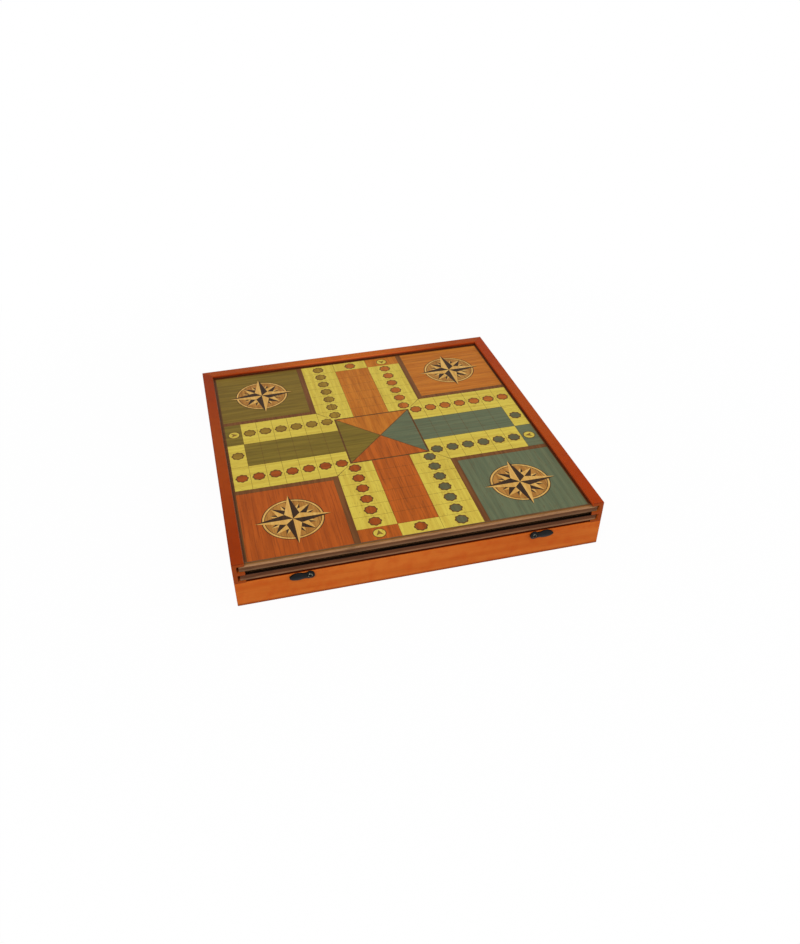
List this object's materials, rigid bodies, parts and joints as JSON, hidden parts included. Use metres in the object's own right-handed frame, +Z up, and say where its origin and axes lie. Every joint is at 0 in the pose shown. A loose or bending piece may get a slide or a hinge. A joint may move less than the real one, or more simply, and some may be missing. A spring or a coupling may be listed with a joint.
{
  "type": "games box",
  "caption": "Square wooden games box whose game boards slide in grooves over a divided tray of pawns, dice and draughtsmen, kept in by turn buttons.",
  "frame": {"origin": "centre of the case's underside, on the surface that it stands on", "axes": "+Z up, -Y towards the low front wall, where the boards slide out, +X to the right seen from the front"},
  "size_m": [0.34, 0.3432, 0.048],
  "materials": {
    "stained_wood": "satin varnish over orange-red stain",
    "plywood": "bare sanded plywood",
    "divider_wood": "satin stain",
    "board_core": "satin brown stain",
    "ludo_print": "printed veneer under satin varnish",
    "chequer_print": "printed veneer under satin varnish",
    "latch_black": "black enamel",
    "screw_steel": "blackened, worn bright on the recess",
    "washer_steel": "plain",
    "olive_paint": "gloss paint",
    "red_paint": "gloss paint",
    "teal_paint": "gloss paint",
    "orange_paint": "gloss paint",
    "dice_ivory": "gloss with dark spots",
    "light_men_wood": "satin varnish",
    "dark_men_wood": "satin stain"
  },
  "bodies": {
    "case": {"left_wall": "stained_wood", "right_wall": "stained_wood", "back_wall": "stained_wood", "front_wall": "stained_wood", "bottom_panel": "plywood", "back_divider": "divider_wood", "front_divider": "divider_wood", "front_cross_divider": "divider_wood", "back_cross_divider_1": "divider_wood", "back_cross_divider_2": "divider_wood", "back_cross_divider_3": "divider_wood", "back_cross_divider_4": "divider_wood", "latch_screw_left": "screw_steel", "latch_washer_left": "washer_steel", "latch_screw_right": "screw_steel", "latch_washer_right": "washer_steel", "olive_pawn_1": "olive_paint", "olive_pawn_2": "olive_paint", "olive_pawn_3": "olive_paint", "olive_pawn_4": "olive_paint", "red_pawn_1": "red_paint", "red_pawn_2": "red_paint", "red_pawn_3": "red_paint", "red_pawn_4": "red_paint", "teal_pawn_1": "teal_paint", "teal_pawn_2": "teal_paint", "teal_pawn_3": "teal_paint", "teal_pawn_4": "teal_paint", "orange_pawn_1": "orange_paint", "orange_pawn_2": "orange_paint", "orange_pawn_3": "orange_paint", "orange_pawn_4": "orange_paint", "die_1": "dice_ivory", "die_2": "dice_ivory", "light_men_1": "light_men_wood", "light_men_2": "light_men_wood", "light_men_3": "light_men_wood", "light_men_4": "light_men_wood", "dark_men_1": "dark_men_wood", "dark_men_2": "dark_men_wood", "dark_men_3": "dark_men_wood", "dark_men_4": "dark_men_wood"},
    "upper_board": {"upper_board": "board_core", "ludo_sheet": "ludo_print"},
    "lower_board": {"lower_board": "board_core", "chequer_sheet": "chequer_print"},
    "latch_left": {"latch_left": "latch_black"},
    "latch_right": {"latch_right": "latch_black"}
  },
  "joints": [
    {"name": "upper_board_slide", "type": "slide", "parent": "case", "child": "upper_board", "axis": [0, -1, 0], "range_m": [0, 0.345]},
    {"name": "lower_board_slide", "type": "slide", "parent": "case", "child": "lower_board", "axis": [0, -1, 0], "range_m": [0, 0.345]},
    {"name": "latch_left_turn", "type": "hinge", "parent": "case", "child": "latch_left", "pos_m": [-0.104, -0.17, 0.0237], "axis": [0, -1, 0], "range_deg": [-90, 0]},
    {"name": "latch_right_turn", "type": "hinge", "parent": "case", "child": "latch_right", "pos_m": [0.104, -0.17, 0.0237], "axis": [0, 1, 0], "range_deg": [-90, 0]}
  ]
}
